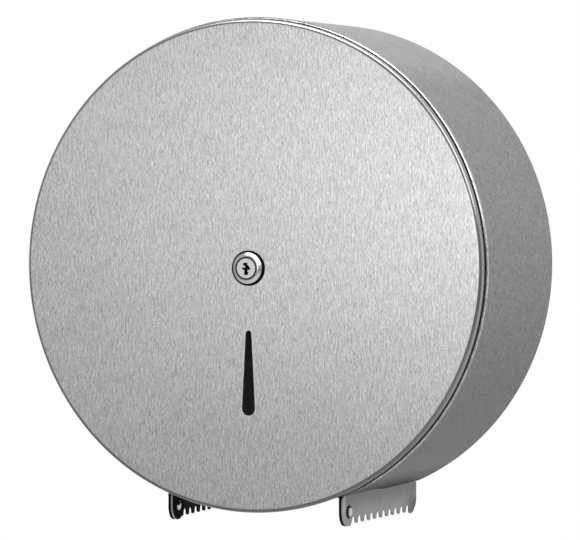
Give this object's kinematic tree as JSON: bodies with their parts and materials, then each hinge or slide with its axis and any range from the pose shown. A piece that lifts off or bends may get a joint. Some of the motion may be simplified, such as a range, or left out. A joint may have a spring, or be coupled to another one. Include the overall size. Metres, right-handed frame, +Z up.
{
  "type": "jumbo toilet roll dispenser",
  "caption": "Round stainless wall dispenser for a jumbo toilet roll, with a lockable door that swings down, a sight slot, a spindle with a hub, and toothed tear plates below.",
  "frame": {"origin": "middle of the four wall holes, on the back plate's rear face, which lies on the wall", "axes": "+Z up, the front with the door faces -Y, +Y points into the wall, +X is right seen from the front"},
  "size_m": [0.31, 0.134, 0.3162],
  "materials": {
    "brushed_stainless": "fine vertical brushed grain on the door, grain round the drum",
    "mill_stainless": "plain mill finish, satin",
    "rivet_steel": "bright, slightly worn",
    "zinc_plated_steel": "bright zinc plating, satin",
    "lock_chrome": "polished plating",
    "wafer_brass": "stamped, satin",
    "washer_plastic": "plain white",
    "hub_plastic": "moulded, fine matt texture",
    "seal_rubber": "black, matt",
    "coated_steel": "thin black coating, satin"
  },
  "bodies": {
    "case": {"back_plate": "mill_stainless", "drum_wall": "brushed_stainless", "tear_plate_left": "mill_stainless", "tear_plate_right": "mill_stainless", "hinge_rivet_left": "rivet_steel", "hinge_rivet_right": "rivet_steel", "spindle_flange": "mill_stainless", "flange_rivets": "rivet_steel", "spindle_tube": "mill_stainless", "keeper_disc": "mill_stainless", "retaining_ring": "zinc_plated_steel", "thrust_washer_front": "washer_plastic", "thrust_washer_rear": "washer_plastic"},
    "door": {"door_pan": "brushed_stainless", "hinge_ear_left": "coated_steel", "hinge_ear_right": "coated_steel", "lock_seal": "seal_rubber", "lock_housing": "lock_chrome", "lock_washer": "zinc_plated_steel", "lock_nut": "lock_chrome"},
    "lock_plug": {"lock_plug": "lock_chrome", "lock_wafers": "wafer_brass", "lock_cam": "zinc_plated_steel", "cam_washer": "zinc_plated_steel", "cam_screw": "zinc_plated_steel"},
    "core_hub": {"core_hub": "hub_plastic"}
  },
  "joints": [
    {"name": "door_hinge", "type": "hinge", "parent": "case", "child": "door", "pos_m": [0, -0.1109, -0.15221], "axis": [1, 0, 0], "range_deg": [0, 175]},
    {"name": "lock_turn", "type": "hinge", "parent": "door", "child": "lock_plug", "pos_m": [0, -0.13, -0.0011], "axis": [0, 1, 0], "range_deg": [0, 90]},
    {"name": "core_hub_spin", "type": "hinge", "parent": "case", "child": "core_hub", "pos_m": [0, -0.06, -0.0011], "axis": [0, 1, 0], "continuous": true}
  ]
}
